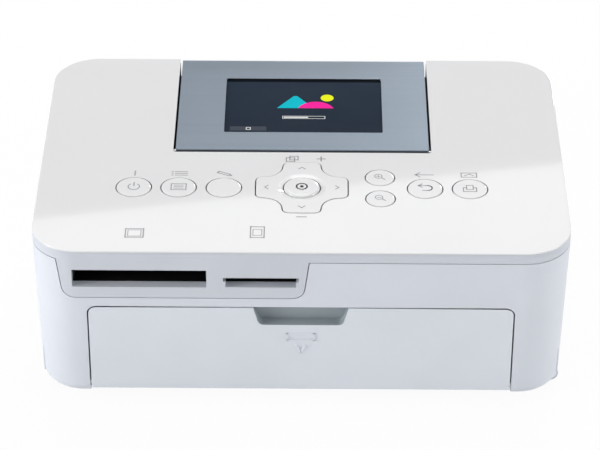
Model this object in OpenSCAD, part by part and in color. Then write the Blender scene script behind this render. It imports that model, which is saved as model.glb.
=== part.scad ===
/* [Case] */
// Width of the case across the cover
case_w = 178; // [177:0.5:180]
// Depth of the cover, front to back
cover_d = 124; // [124:0.5:126]
// Height of the cover's glossy face above the table
case_h = 60.5; // [60.5:0.5:62]
// Corner radius of the case seen from above
corner_r = 16; // [14:0.5:17]
// How far each wall leans in between the seam and the foot
wall_draft = 1.4; // [1:0.1:1.5]
// Thickness of the moulded walls
wall = 2; // [1.8:0.1:2.1]
// Width of the shadow line between two mouldings
seam_gap = 0.3; // [0.2:0.05:0.35]

/* [Display] */
// Width of the tilting display panel
panel_w = 87.1; // [86:0.1:87.2]
// Side gap between the display panel and its cut-out
panel_gap = 0.8; // [0.7:0.05:1]
// Width of the window over the screen
window_w = 55.2; // [52:0.2:57]
// Depth of the window over the screen
window_d = 36.3; // [34:0.1:38]

/* [Keys] */
// Radius of the large round keys
key_r = 5.8; // [5.5:0.1:6]
// Radius of the two zoom keys
zoom_key_r = 4.8; // [4.5:0.1:4.9]
// Radius of the centre key of the navigation pad
ok_key_r = 6.1; // [5.9:0.1:6.3]
// Half length of the navigation pad
nav_reach = 15.4; // [15.2:0.1:15.6]
// Gap round a key in the cover
key_gap = 0.4; // [0.3:0.05:0.45]
// How far a key goes down when pressed
key_travel = 0.6; // [0.5:0.1:0.7]

/* [Doors] */
// Width of the paper door in the front
paper_door_w = 140.6; // [138:0.2:141]
// Height of the paper door's upper edge above the table
paper_door_top = 37.9; // [37:0.1:38]
// Gap between a door and its opening
door_gap = 0.5; // [0.4:0.05:0.6]
// Depth of the ribbon door, front to back
ribbon_door_d = 85; // [84:0.5:85]
// Height of the ribbon door's upper edge above the table
ribbon_door_top = 48; // [47:0.5:49]

/* [Print mechanism] */
// Radius of the rubber platen roller
platen_r = 6; // [5.5:0.1:6.2]
// Tooth module of the feed gears
gear_module = 0.8; // [0.8:0.1:0.8]
// Half distance between the two side frames
frame_x = 64; // [63.5:0.25:64]

/* [Hidden] */
$fn = 64;

// Case levels and places
front_y = -63.5;
rear_y = front_y + cover_d;
cover_mid_y = front_y + cover_d / 2;
foot_h = 3;
seam_z = case_h - 4;
fascia_z = case_h - 1.2;
deck_z = case_h - 2.7;
floor_z = 5;
foot_round = 1;
cover_round = 0.8;
reveal_h = 0.35;
reveal_d = 0.5;
bore_clear = 0.05;
eps = 0.01;
big = 400;

// Card bezel in the front
bezel_left = -80.3;
bezel_right = 2.7;
bezel_z = 42;
bezel_corner_r = 4;
bezel_lean = 1.5;
bezel_t = 3.75;
cf_slot = [-75.2, -31];
cf_slot_z = [46.2, 53.05];
sd_slot = [-25.6, -0.7];
sd_slot_z = [46.35, 50.15];
sd_step = 0.8;
sd_step_z = 48.6;

// Display panel
panel_front_y = -0.9;
panel_cut_front_y = -2.45;
panel_flat_y = 50;
panel_lip_y = 63.5;
panel_lip_z = case_h - 9;
panel_t = 5.8;
panel_bottom_z = case_h - panel_t;
panel_corner_r = 1;
panel_rim_t = 0.5;
panel_rim_d = 1.2;
panel_cut_x = panel_w / 2 + panel_gap;
well_floor_z = case_h - 7;
well_t = 1.5;
window_mid_x = 0.3;
window_mid_y = 28.8;
lcd_axis_y = 2.1;
lcd_axis_z = case_h - 3;
lcd_shaft_r = 1.1;

// Keys
key_row_y = -24.9;
nav_y = -24.6;
key_proud = 0.15;
ok_proud = 0.5;
key_flange_t = 0.6;
key_flange = 0.9;
power_key_x = -56.62;
menu_key_x = -41.51;
edit_key_x = -26.25;
back_key_x = 41.5;
print_key_x = 56.62;
zoom_key_x = 26.4;
zoom_in_y = -18.2;
zoom_out_y = -31.2;
key_top = case_h + key_proud;
key_flange_z = deck_z - 0.3;
key_bottom_z = key_flange_z - key_flange_t;
key_board_t = 1.2;
switch_h = 2;
switch_clear = 0.3;
key_board_z = key_bottom_z - key_travel - switch_clear - switch_h - key_board_t;

// Paper door
paper_door_t = 2.2;
paper_door_bottom = 4.1;
paper_door_corner_r = 2.6;
paper_hinge_y = -60.4;
paper_hinge_z = 6;
paper_barrel_r = 1.7;
paper_pin_r = 0.9;
notch_w = 31.3;
notch_floor_w = 24.5;
notch_z = 31;
notch_depth = 4.8;

// Ribbon door and bay
ribbon_door_y = -47;
ribbon_door_bottom = 7;
ribbon_hinge_x = 84.4;
ribbon_hinge_z = 4;
ribbon_barrel_r = 3;
ribbon_pin_r = 1.2;
knuckle_l = 4.6;
lane_front = [-44, -17];
lane_rear = [17, 35];
lane_z = [29, 41.5];
head_zone_z = 34.5;
bay_t = 1.4;

// Mechanism
frame_t = 1.5;
frame_in = frame_x - frame_t / 2;
frame_out = frame_x + frame_t / 2;
gear_w = 4;
gear_x = -frame_out - 1 - gear_w / 2;
pinion_teeth = 12;
idler_teeth = 32;
capstan_teeth = 30;
platen_teeth = 24;
pickup_teeth = 15;
takeup_teeth = 20;
mesh_play = 0.1;
capstan_pos = [10, 30.7];
capstan_r = 3;
pinch_r = 4;
pinch_pos = [capstan_pos[0], capstan_pos[1] - capstan_r - pinch_r - 0.3];
// Gear centres in the side view, each set off from the gear that drives it
function mesh_distance(a, b) = gear_module * (a + b) / 2 + mesh_play;
function step_to(from, dist, angle) = from + dist * [cos(angle), sin(angle)];
platen_dir = 205.3;
platen_pos = step_to(capstan_pos, mesh_distance(capstan_teeth, platen_teeth), platen_dir);
pickup_dir = 176.3;
pickup_pos = step_to(platen_pos, mesh_distance(platen_teeth, pickup_teeth), pickup_dir);
takeup_dir = 115.3;
takeup_pos = step_to(pickup_pos, mesh_distance(pickup_teeth, takeup_teeth), takeup_dir);
idler_dir = 0;
idler_pos = step_to(capstan_pos, mesh_distance(capstan_teeth, idler_teeth), idler_dir);
pinion_dir = -55;
pinion_pos = step_to(idler_pos, mesh_distance(idler_teeth, pinion_teeth), pinion_dir);
pickup_r = 5;
takeup_hub_r = 5;

// Phase that puts a tooth gap of gear b where gear a has a tooth, seen along the line between them
function mesh_phase(dir, a, b, phase) = dir + 180 + 180 / b + (dir - phase) * a / b;
capstan_phase = 0;
platen_phase = mesh_phase(platen_dir, capstan_teeth, platen_teeth, capstan_phase);
pickup_phase = mesh_phase(pickup_dir, platen_teeth, pickup_teeth, platen_phase);
takeup_phase = mesh_phase(takeup_dir, pickup_teeth, takeup_teeth, pickup_phase);
idler_phase = mesh_phase(idler_dir, capstan_teeth, idler_teeth, capstan_phase);
pinion_phase = mesh_phase(pinion_dir, idler_teeth, pinion_teeth, idler_phase);

// Thermal head
head_pivot = [50, 47.6];
head_pivot_r = 1.5;
head_tip_z = 41.2;
head_set_forward = 2.8;
head_x = 52;
arm_x = 58.5;
arm_t = 1.5;
arm_top_z = 50.8;
arm_low_z = 45.5;
bridge_y = [5, 17];

// ---------- Shared shapes ----------

// How far a wall stands in from the cover's edge at a given height
function draft_at(z) = z < seam_z ? wall_draft * (seam_z - z) / (seam_z - foot_h) : 0;
function front_at(z) = front_y + draft_at(z);
function side_at(z) = case_w / 2 - draft_at(z);

// Points of an arc, anticlockwise when a1 > a0
function arc(c, r, a0, a1, n = 6) =
    [for (i = [0:n]) let (a = a0 + (a1 - a0) * i / n) c + r * [cos(a), sin(a)]];

// Profile points [inset, height] of a rounded upper edge and a rounded lower edge
function round_over(inset, z, r, n = 4) =
    [for (i = [0:n]) let (a = 90 * i / n) [inset + r * (1 - cos(a)), z - r + r * sin(a)]];
function round_under(inset, z, r, n = 4) =
    [for (i = [0:n]) let (a = 90 - 90 * i / n) [inset + r * (1 - cos(a)), z + r - r * sin(a)]];

// Outline of both sides of a profile about the middle line
function both_sides(profile, half) = concat(
    [for (p = profile) [half - p[0], p[1]]],
    [for (i = [len(profile) - 1:-1:0]) [profile[i][0] - half, profile[i][1]]]
);

// A flat shape drawn in the side view (Y, Z) and given a width along X
module along_x(x0, x1) {
    translate([x0, 0, 0])
        rotate([90, 0, 90])
            linear_extrude(x1 - x0)
                children();
}

// A flat shape drawn in the front view (X, Z) and given a depth along Y
module along_y(y0, y1) {
    translate([0, y1, 0])
        rotate([90, 0, 0])
            linear_extrude(y1 - y0)
                children();
}

module up_from(z0, z1) {
    translate([0, 0, z0])
        linear_extrude(z1 - z0)
            children();
}

module box(x, y, z) {
    translate([x[0], y[0], z[0]])
        cube([x[1] - x[0], y[1] - y[0], z[1] - z[0]]);
}

module rod_x(x0, x1, pos, r) {
    translate([x0, pos[0], pos[1]])
        rotate([0, 90, 0])
            cylinder(h = x1 - x0, r = r);
}

module rod_y(y0, y1, pos, r) {
    translate([pos[0], y1, pos[1]])
        rotate([90, 0, 0])
            cylinder(h = y1 - y0, r = r);
}

// Both sides of the machine from one side
module mirrored_x() {
    children();
    mirror([1, 0, 0])
        children();
}

module rounded_rect(x0, x1, y0, y1, r) {
    union() {
        translate([x0 + r, y0])
            square([x1 - x0 - 2 * r, y1 - y0]);
        translate([x0, y0 + r])
            square([x1 - x0, y1 - y0 - 2 * r]);
        for (x = [x0 + r, x1 - r], y = [y0 + r, y1 - r])
            translate([x, y])
                circle(r);
    }
}

// The case's plan with its round corners, and sides that follow a profile of [inset, height] points
module moulded_block(profile) {
    half_w = case_w / 2;
    half_d = cover_d / 2;
    bottom = profile[0][1];
    top = profile[len(profile) - 1][1];
    translate([0, cover_mid_y, 0]) {
        along_y(corner_r - half_d, half_d - corner_r)
            polygon(both_sides(profile, half_w));
        along_x(corner_r - half_w, half_w - corner_r)
            polygon(both_sides(profile, half_d));
        for (x = [-1, 1], y = [-1, 1])
            translate([x * (half_w - corner_r), y * (half_d - corner_r), 0])
                rotate_extrude()
                    polygon(concat([[0, bottom]], [for (p = profile) [corner_r - p[0], p[1]]], [[0, top]]));
    }
}

// Sides of the case below the seam, from the foot's rounded edge upwards
function case_profile(top) = concat(round_under(wall_draft, foot_h, foot_round), [[draft_at(top), top]]);

// Space inside the walls between two heights
module case_inside(z0, z1, skin = wall) {
    moulded_block([[draft_at(z0) + skin, z0], [draft_at(z1) + skin, z1]]);
}

// ---------- Case ----------

boss_r = 3.2;
boss_top = 15;
screw_r = 1.2;
screw_head_r = 2.5;
foot_x = 66;
foot_front_y = -47;
foot_rear_y = 46;
foot_r = 6;
foot_peg_r = 2;
boss_places = [[77.5, -52.5], [79, 48]];
jack_x = 50;
jack_z = 15;
jack_r = 3.2;
jack_bore_r = 2.4;
jack_pin_r = 0.8;
port_clear = 0.4;
usb_x = 26;
usb_z = 12.6;
usb_half = [6.2, 5.6];
usb_t = 0.6;
vent_count = 9;
vent_pitch = 3.6;
vent_x = -60;
vent_w = 2;
vent_z = [9, 20];
exit_slot_x = 55;
exit_slot_z = [25.5, 31.5];
cheek_x = 74.8;
base_front_y = -57.5;
tongue_t = 1.2;
tongue_z = seam_z - 3;
well_x = panel_cut_x + well_t;

// Outline of the card bezel in the front view, grown by a gap for its cut-out
module bezel_outline(by = 0) {
    left = bezel_left + bezel_lean + bezel_corner_r;
    right = bezel_right - bezel_lean - bezel_corner_r;
    z = bezel_z + bezel_corner_r;
    r = bezel_corner_r + by;
    polygon(concat(
        [[bezel_left - by, seam_z + 1]],
        arc([left, z], r, 180, 270),
        arc([right, z], r, 270, 360),
        [[bezel_right + by, seam_z + 1]]
    ));
}

// Outline of the paper door in the front view
module paper_door_outline(by, bottom) {
    x = paper_door_w / 2 + by;
    r = paper_door_corner_r + by;
    z = paper_door_top - paper_door_corner_r;
    polygon(concat(
        [[-x, bottom], [x, bottom]],
        arc([x - r, z], r, 0, 90),
        arc([r - x, z], r, 90, 180)
    ));
}

module ribbon_door_outline(by, bottom) {
    translate([ribbon_door_y - by, bottom])
        square([ribbon_door_d + 2 * by, ribbon_door_top + by - bottom]);
}

module rear_vents() {
    for (i = [0:vent_count - 1])
        box([vent_x + i * vent_pitch, vent_x + i * vent_pitch + vent_w], [rear_y - 5, rear_y + 1], vent_z);
}

module screw_bosses() {
    for (p = boss_places) {
        translate([p[0], p[1], floor_z])
            cylinder(h = boss_top - floor_z, r = boss_r);
        box([p[0], side_at(boss_top) - wall / 2], [p[1] - 0.8, p[1] + 0.8], [floor_z, boss_top]);
    }
}

module hinge_knuckles() {
    door_rear = ribbon_door_y + ribbon_door_d;
    for (y = [ribbon_door_y - door_gap - knuckle_l, door_rear + door_gap])
        rod_y(y, y + knuckle_l, [ribbon_hinge_x, ribbon_hinge_z], ribbon_barrel_r);
}

module case_openings() {
    along_y(front_y - 1, front_y + bezel_t + 1)
        bezel_outline(seam_gap);
    along_y(front_y - 1, base_front_y)
        paper_door_outline(door_gap, 0);
    along_x(ribbon_hinge_x - 1, case_w)
        ribbon_door_outline(door_gap, 0);
    box([-well_x - seam_gap, well_x + seam_gap], [rear_y - 5, rear_y + 1],
        [well_floor_z - well_t - seam_gap, case_h]);
    box([-exit_slot_x, exit_slot_x], [rear_y - 5, rear_y + 1], exit_slot_z);
    rod_y(rear_y - 5, rear_y + 1, [jack_x, jack_z], jack_r + port_clear);
    box([usb_x - usb_half[0] - port_clear, usb_x + usb_half[0] + port_clear], [rear_y - 5, rear_y + 1],
        [usb_z - usb_half[1] - port_clear, usb_z + usb_half[1] + port_clear]);
    rear_vents();
}

module main_case() {
    cheek_in = paper_door_w / 2 + door_gap;
    cheek_z = [floor_z - 1, 11];
    color([0.85, 0.87, 0.91])
        difference() {
            union() {
                difference() {
                    moulded_block(case_profile(seam_z - seam_gap));
                    case_inside(foot_h - 1, seam_z);
                    case_openings();
                }
                mirrored_x() {
                    box([cheek_in, cheek_x], [front_at(0) + wall / 2, base_front_y - 0.3], cheek_z);
                    screw_bosses();
                }
                hinge_knuckles();
            }
            mirrored_x()
                rod_x(cheek_in - 1, cheek_x + 1, [paper_hinge_y, paper_hinge_z], paper_pin_r);
            rod_y(ribbon_door_y - knuckle_l, ribbon_door_y, [ribbon_hinge_x, ribbon_hinge_z], ribbon_pin_r);
            rod_y(ribbon_door_y + ribbon_door_d, ribbon_door_y + ribbon_door_d + knuckle_l,
                [ribbon_hinge_x, ribbon_hinge_z], ribbon_pin_r);
            mirrored_x()
                for (p = boss_places)
                    translate([p[0], p[1], floor_z - 1])
                        cylinder(h = 8, r = screw_r);
        }
}

module base_plate() {
    through_z = [0, floor_z + 1];
    knuckle_room = knuckle_l + 1;
    slot_pitch = 5;
    slot_w = 2;
    slot_y = [10, 36];
    color([0.72, 0.74, 0.77])
        difference() {
            case_inside(foot_h, floor_z);
            box([-cheek_x - 0.5, cheek_x + 0.5], [-case_w, base_front_y], through_z);
            box([ribbon_hinge_x - ribbon_barrel_r - 0.5, case_w],
                [ribbon_door_y - knuckle_room, ribbon_door_rear + knuckle_room], through_z);
            mirrored_x() {
                for (p = boss_places)
                    translate([p[0], p[1], 0]) {
                        cylinder(h = floor_z + 1, r = screw_r + 0.2);
                        cylinder(h = foot_h + 1.2, r = screw_head_r + 0.3);
                    }
                for (y = [foot_front_y, foot_rear_y])
                    translate([foot_x, y, 0])
                        cylinder(h = floor_z + 1, r = foot_peg_r);
            }
            for (x = [-4 * slot_pitch:slot_pitch:4 * slot_pitch])
                box([x - slot_w / 2, x + slot_w / 2], slot_y, through_z);
        }
}

module rubber_feet() {
    peg_top = floor_z - 0.2;
    color([0.2, 0.2, 0.21])
        mirrored_x()
            for (y = [foot_front_y, foot_rear_y])
                translate([foot_x, y, 0])
                    rotate_extrude()
                        polygon([
                            [0, 0], [foot_r - 1, 0], [foot_r - 0.3, 0.3], [foot_r, 1],
                            [foot_r, foot_h], [foot_peg_r, foot_h], [foot_peg_r, peg_top], [0, peg_top]
                        ]);
}

module case_screws() {
    head_z = foot_h + 0.2;
    color([0.6, 0.61, 0.63])
        mirrored_x()
            for (p = boss_places)
                translate([p[0], p[1], 0])
                    difference() {
                        union() {
                            translate([0, 0, head_z])
                                cylinder(h = 1, r = screw_head_r);
                            translate([0, 0, head_z + 0.5])
                                cylinder(h = 7, r = screw_r);
                        }
                        for (a = [0, 90])
                            rotate(a)
                                box([-1.3, 1.3], [-0.25, 0.25], [head_z - 1, head_z + 0.6]);
                    }
}

// ---------- Cover ----------

round_keys = [
    [power_key_x, key_row_y, key_r], [menu_key_x, key_row_y, key_r], [edit_key_x, key_row_y, key_r],
    [back_key_x, key_row_y, key_r], [print_key_x, key_row_y, key_r],
    [zoom_key_x, zoom_in_y, zoom_key_r], [zoom_key_x, zoom_out_y, zoom_key_r]
];
nav_arm = 6.3;
nav_fillet = 6.6;
nav_tip_r = 2.2;

// Plan of the four-armed navigation pad: a cross with round inner corners and round tips
module nav_outline(by = 0) {
    reach = nav_reach + by;
    arm = nav_arm + by;
    fillet = nav_fillet - by;
    tip = nav_tip_r + by;
    inner = arm + fillet;
    quarter = concat(
        arc([reach - tip, arm - tip], tip, 0, 90, 5),
        arc([inner, inner], fillet, 270, 180, 6),
        arc([arm - tip, reach - tip], tip, 0, 90, 5)
    );
    polygon([for (k = [0:3], p = quarter) [
        p[0] * cos(90 * k) - p[1] * sin(90 * k),
        p[0] * sin(90 * k) + p[1] * cos(90 * k)
    ]]);
}

module key_holes(z0, z1, flange = 0) {
    for (k = round_keys)
        translate([k[0], k[1], z0])
            cylinder(h = z1 - z0, r = k[2] + key_gap + flange);
    translate([0, nav_y, 0])
        up_from(z0, z1)
            nav_outline(key_gap);
}

// Cut-out for the display panel, open to the rear
module panel_cut(z0, z1, front = panel_cut_front_y, by = 0) {
    up_from(z0, z1)
        rounded_rect(-panel_cut_x - by, panel_cut_x + by, front, rear_y + case_w, panel_corner_r);
}

module card_slot(x, z) {
    box(x, [front_y - 1, front_y + bezel_t + 1], z);
}

// Sides of the cover moulding, with the fine shadow groove under the glossy face
cover_side = [[0, seam_z], [0, fascia_z - reveal_h], [reveal_d, fascia_z - reveal_h], [reveal_d, fascia_z]];
cover_body = concat([[wall_draft, foot_h]], cover_side);

// The display's bay, full width and open to the rear
module well_block(by = 0) {
    box([-well_x - by, well_x + by], [panel_cut_front_y - well_t - by, rear_y + 1],
        [well_floor_z - well_t - by, fascia_z + by]);
}

module upper_case() {
    ledge = [well_x, well_x + 7.5];
    pocket_half = 3.6;
    ledge_y = [lcd_axis_y - pocket_half - 0.4, lcd_axis_y + pocket_half + 0.4];
    color([0.84, 0.86, 0.9])
        difference() {
            union() {
                difference() {
                    moulded_block(cover_side);
                    moulded_block([[wall, seam_z - 1], [wall, deck_z]]);
                }
                difference() {
                    moulded_block([[draft_at(tongue_z) + wall, tongue_z], [wall, seam_z], [wall, deck_z]]);
                    moulded_block([[draft_at(tongue_z) + wall + tongue_t, tongue_z - eps],
                        [wall + tongue_t, seam_z], [wall + tongue_t, deck_z]]);
                }
                intersection() {
                    along_y(front_y - 1, front_y + bezel_t)
                        bezel_outline();
                    moulded_block(cover_body);
                }
                mirrored_x() {
                    box(ledge, ledge_y, [well_floor_z - well_t, well_floor_z]);
                    box([ledge[1] - well_t, ledge[1]], ledge_y, [well_floor_z, deck_z]);
                }
            }
            well_block();
            card_slot(cf_slot, cf_slot_z);
            card_slot([sd_slot[0], sd_slot[1]], [sd_step_z, sd_slot_z[1]]);
            card_slot([sd_slot[0] + sd_step, sd_slot[1] - sd_step], sd_slot_z);
            key_holes(seam_z - 1, case_h);
            mirrored_x()
                box([well_x - 1, ledge[1] - well_t], [lcd_axis_y - pocket_half, lcd_axis_y + pocket_half],
                    [well_floor_z, case_h]);
        }
}

module display_well() {
    color([0.12, 0.12, 0.13])
        difference() {
            intersection() {
                well_block();
                moulded_block(cover_body);
            }
            panel_cut(well_floor_z, case_h);
            rod_x(-case_w / 2, case_w / 2, [lcd_axis_y, lcd_axis_z], lcd_shaft_r + 0.3);
        }
}

module top_fascia() {
    edge = 0.15;
    color([0.93, 0.93, 0.93])
        difference() {
            moulded_block(concat(
                [[edge, fascia_z], [0, fascia_z + edge]],
                round_over(0, case_h, cover_round)
            ));
            panel_cut(fascia_z - 1, case_h + 1);
            key_holes(fascia_z - 1, case_h + 1);
        }
}

// ---------- Display panel ----------

lip_r = 4.5;
lip_t = 2.3;
lip_c = [panel_lip_y - lip_r, case_h - 0.4 - lip_r];
bezel_skin = 1.8;
skin_z = case_h - bezel_skin;
lip_inner_y = panel_lip_y - lip_t;
panel_back_r = 1.5;
window_t = 1.3;
window_drop = 0.5;
display_t = 1.9;

// Step behind the bezel's thin front rim, which the back shell fills
panel_rim = [
    [panel_front_y + panel_rim_d, skin_z], [panel_front_y + panel_rim_d, case_h - panel_rim_t],
    [panel_front_y, case_h - panel_rim_t]
];

// Underside of the bezel towards the rear: the shape that the back shell follows
lip_inside = concat(
    [[lip_inner_y, lip_c[1]]],
    arc(lip_c, lip_r - lip_t, 0, 90, 5),
    [[panel_flat_y, skin_z]]
);

module panel_slice(points) {
    intersection() {
        along_x(-panel_w / 2, panel_w / 2)
            polygon(points);
        up_from(0, big)
            rounded_rect(-panel_w / 2, panel_w / 2, panel_front_y, panel_lip_y, panel_corner_r);
    }
}

module window_outline(by) {
    half = [window_w / 2 + by, window_d / 2 + by];
    rounded_rect(window_mid_x - half[0], window_mid_x + half[0],
        window_mid_y - half[1], window_mid_y + half[1], 0.6 + by);
}

module lcd_bezel() {
    color([0.6, 0.65, 0.7])
        difference() {
            panel_slice(concat(
                panel_rim,
                [[panel_front_y, case_h - panel_rim_t / 2], [panel_front_y + panel_rim_t / 2, case_h]],
                [[panel_flat_y, case_h], [panel_flat_y + 4.5, case_h - 0.1]],
                arc(lip_c, lip_r, 90, 0, 8),
                [[panel_lip_y, panel_lip_z + 0.5], [panel_lip_y - 0.5, panel_lip_z]],
                [[lip_inner_y + 0.5, panel_lip_z], [lip_inner_y, panel_lip_z + 0.5]],
                lip_inside
            ));
            up_from(skin_z - 1, case_h + 1)
                window_outline(0);
        }
}

module lcd_window() {
    color([0.16, 0.18, 0.2])
        up_from(case_h - window_drop - window_t, case_h - window_drop)
            window_outline(0);
}

module lcd_display() {
    color([0.12, 0.13, 0.15])
        up_from(skin_z - display_t, skin_z)
            window_outline(3);
}

module lcd_back_shell() {
    color([0.35, 0.37, 0.4])
        difference() {
            panel_slice(concat(
                panel_rim,
                arc([panel_front_y + panel_back_r, panel_bottom_z + panel_back_r],
                    panel_back_r, 180, 270, 5),
                [[lip_inner_y, panel_bottom_z]],
                lip_inside
            ));
            up_from(skin_z - display_t, case_h)
                window_outline(3);
            rod_x(-case_w, case_w, [lcd_axis_y, lcd_axis_z], lcd_shaft_r);
        }
}

module lcd_hinge_shaft() {
    color([0.75, 0.76, 0.78])
        rod_x(-well_x - 2.4, well_x + 2.4, [lcd_axis_y, lcd_axis_z], lcd_shaft_r);
}

module lcd_hinge_brackets() {
    plate = [well_x + 0.4, well_x + 2];
    color([0.65, 0.66, 0.68])
        mirrored_x()
            difference() {
                union() {
                    box(plate, [lcd_axis_y - 2.8, lcd_axis_y + 2.8], [well_floor_z, case_h - 1.4]);
                    box([plate[0], well_x + 5.6], [lcd_axis_y - 2.8, lcd_axis_y + 2.8],
                        [well_floor_z, well_floor_z + 1]);
                }
                rod_x(well_x - 1, well_x + 4, [lcd_axis_y, lcd_axis_z], lcd_shaft_r + bore_clear);
                translate([well_x + 3.9, lcd_axis_y, 0])
                    cylinder(h = case_h, r = 0.8);
            }
}

// ---------- Keys ----------

key_edge = 0.35;

module round_key(place, r) {
    flange_r = r + key_flange;
    translate([place[0], place[1], 0])
        rotate_extrude()
            polygon(concat(
                [[0, key_bottom_z], [flange_r, key_bottom_z], [flange_r, key_flange_z], [r, key_flange_z]],
                arc([r - key_edge, key_top - key_edge], key_edge, 0, 90, 3),
                [[0, key_top]]
            ));
}

module cover_key(i) {
    color([0.92, 0.92, 0.92])
        round_key(round_keys[i], round_keys[i][2]);
}

module power_key() { cover_key(0); }
module menu_key() { cover_key(1); }
module edit_key() { cover_key(2); }
module back_key() { cover_key(3); }
module print_key() { cover_key(4); }
module zoom_in_key() { cover_key(5); }
module zoom_out_key() { cover_key(6); }

nav_dish_r = 8.2;
nav_dish_depth = 0.3;
nav_bottom_z = deck_z - 0.8;
collar_z = [case_h - 5.4, case_h - 4.6];
collar_r = [4.2, 7];

module nav_pad() {
    color([0.92, 0.92, 0.92])
        difference() {
            translate([0, nav_y, 0])
                up_from(nav_bottom_z, key_top)
                    nav_outline();
            translate([0, nav_y, 0]) {
                cylinder(h = big, r = ok_key_r + key_gap);
                translate([0, 0, key_top - nav_dish_depth])
                    cylinder(h = nav_dish_depth + eps, r1 = ok_key_r + key_gap - eps, r2 = nav_dish_r);
            }
        }
}

module nav_collar() {
    color([0.3, 0.3, 0.31])
        translate([0, nav_y, collar_z[0]])
            difference() {
                cylinder(h = collar_z[1] - collar_z[0], r = collar_r[1]);
                translate([0, 0, -1])
                    cylinder(h = 5, r = collar_r[0]);
            }
}

module ok_key() {
    top = case_h + ok_proud;
    edge = 1;
    color([0.92, 0.92, 0.92])
        translate([0, nav_y, 0])
            rotate_extrude()
                polygon(concat(
                    [[0, nav_bottom_z], [ok_key_r, nav_bottom_z]],
                    arc([ok_key_r - edge, top - edge], edge, 0, 90, 4),
                    [[0, top]]
                ));
}

nav_switch_r = 11.5;
key_board_x = 66;
key_board_y = [-43, -8];
switch_places = concat(
    [for (k = round_keys) [k[0], k[1]]],
    [[0, nav_y]],
    [for (a = [0:90:270]) [0, nav_y] + nav_switch_r * [cos(a), sin(a)]]
);

module key_board() {
    color([0.1, 0.4, 0.25])
        box([-key_board_x, key_board_x], key_board_y, [key_board_z, key_board_z + key_board_t]);
}

module tact_switches() {
    top = key_board_z + key_board_t;
    color([0.3, 0.31, 0.33])
        for (p = switch_places)
            translate([p[0], p[1], top]) {
                translate([-2.2, -2.2, 0])
                    cube([4.4, 4.4, switch_h - 0.7]);
                cylinder(h = switch_h, r = 1.2);
            }
}

// ---------- Paper door ----------

paper_bore_r = paper_pin_r + bore_clear;
paper_barrel_l = 10;
paper_pin_l = 5;
scoop_t = 1.2;
rib_t = 1.6;
door_rib_x = [-45, 45];
door_rib_z = [9, 33];
catch_x = [38, 44];

// Outer skin of the front wall, a constant thickness behind its lean
module front_skin(x0, x1, z0, z1, t) {
    along_x(x0, x1)
        polygon([
            [front_at(z0), z0], [front_at(z0) + t, z0], [front_at(z1) + t, z1], [front_at(z1), z1]
        ]);
}

module notch_outline(by = 0) {
    top = notch_w / 2 + by;
    floor_x = notch_floor_w / 2 + by;
    polygon(concat(
        [[-top, paper_door_top + 1], [-top, paper_door_top - 0.3]],
        arc([-floor_x, notch_z + 2.2], 2.2 + by, 200, 270, 4),
        arc([floor_x, notch_z + 2.2], 2.2 + by, 270, 340, 4),
        [[top, paper_door_top - 0.3], [top, paper_door_top + 1]]
    ));
}

module paper_door() {
    x = paper_door_w / 2;
    inner_y = front_at(paper_hinge_z) + paper_door_t;
    color([0.83, 0.85, 0.88])
        difference() {
            union() {
                intersection() {
                    along_y(front_y - 1, front_y + 10)
                        paper_door_outline(0, paper_door_bottom);
                    front_skin(-x, x, paper_door_bottom, paper_door_top, paper_door_t);
                }
                along_y(inner_y - 1, front_y + notch_depth + scoop_t)
                    intersection() {
                        notch_outline(scoop_t);
                        translate([-x, 0])
                            square([2 * x, paper_door_top - 0.2]);
                    }
                mirrored_x()
                    rod_x(x - paper_barrel_l, x, [paper_hinge_y, paper_hinge_z], paper_barrel_r);
                for (rib_x = door_rib_x)
                    box([rib_x - rib_t / 2, rib_x + rib_t / 2], [inner_y - 1, inner_y + 1.2], door_rib_z);
            }
            along_y(front_y - 1, front_y + notch_depth)
                notch_outline();
            mirrored_x()
                rod_x(x - paper_pin_l, x + 1, [paper_hinge_y, paper_hinge_z], paper_bore_r);
        }
}

module paper_door_pins() {
    x = paper_door_w / 2;
    color([0.7, 0.71, 0.73])
        mirrored_x()
            rod_x(x - paper_pin_l + 0.5, cheek_x, [paper_hinge_y, paper_hinge_z], paper_pin_r);
}

module paper_door_catches() {
    z = paper_door_top + door_gap;
    back_y = front_at(z) + wall;
    color([0.55, 0.56, 0.58])
        mirrored_x()
            along_x(catch_x[0], catch_x[1])
                polygon([
                    [back_y, z + 3.4], [back_y, z + 0.4], [back_y + 1.4, z - 0.2], [back_y + 2.2, z + 0.4],
                    [back_y + 2.2, z + 3.4]
                ]);
}

// ---------- Ribbon door and bay ----------

ribbon_door_rear = ribbon_door_y + ribbon_door_d;
bay_x = [frame_out + 0.4, 84];
bay_clear = 0.4;
hook_y = [-6, 0];
grip_y = [-10, 2];
grip_r = 2.2;
grip_out = 1.2;
rack_y = [25, 31];

module ribbon_door() {
    t = wall;
    z0 = ribbon_door_bottom - 1.4;
    z1 = ribbon_door_top;
    hinge_line = [ribbon_hinge_x, ribbon_hinge_z];
    color([0.85, 0.87, 0.91])
        difference() {
            union() {
                along_y(ribbon_door_y, ribbon_door_rear)
                    polygon([
                        [side_at(z0), z0], [side_at(z1), z1], [side_at(z1) - t, z1], [side_at(z0) - t, z0]
                    ]);
                rod_y(ribbon_door_y, ribbon_door_rear, hinge_line, ribbon_barrel_r - 0.4);
                box([bay_x[1] - 1.8, side_at(z1) - 1], hook_y, [z1 - 6, z1 - 4.8]);
            }
            rod_y(-case_w, case_w, hinge_line, ribbon_pin_r + bore_clear);
            along_y(grip_y[0], grip_y[1])
                translate([side_at(z1) + grip_out, z1])
                    circle(grip_r);
        }
}

module ribbon_door_pin() {
    color([0.7, 0.71, 0.73])
        rod_y(ribbon_door_y - knuckle_l, ribbon_door_rear + knuckle_l,
            [ribbon_hinge_x, ribbon_hinge_z], ribbon_pin_r);
}

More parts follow.
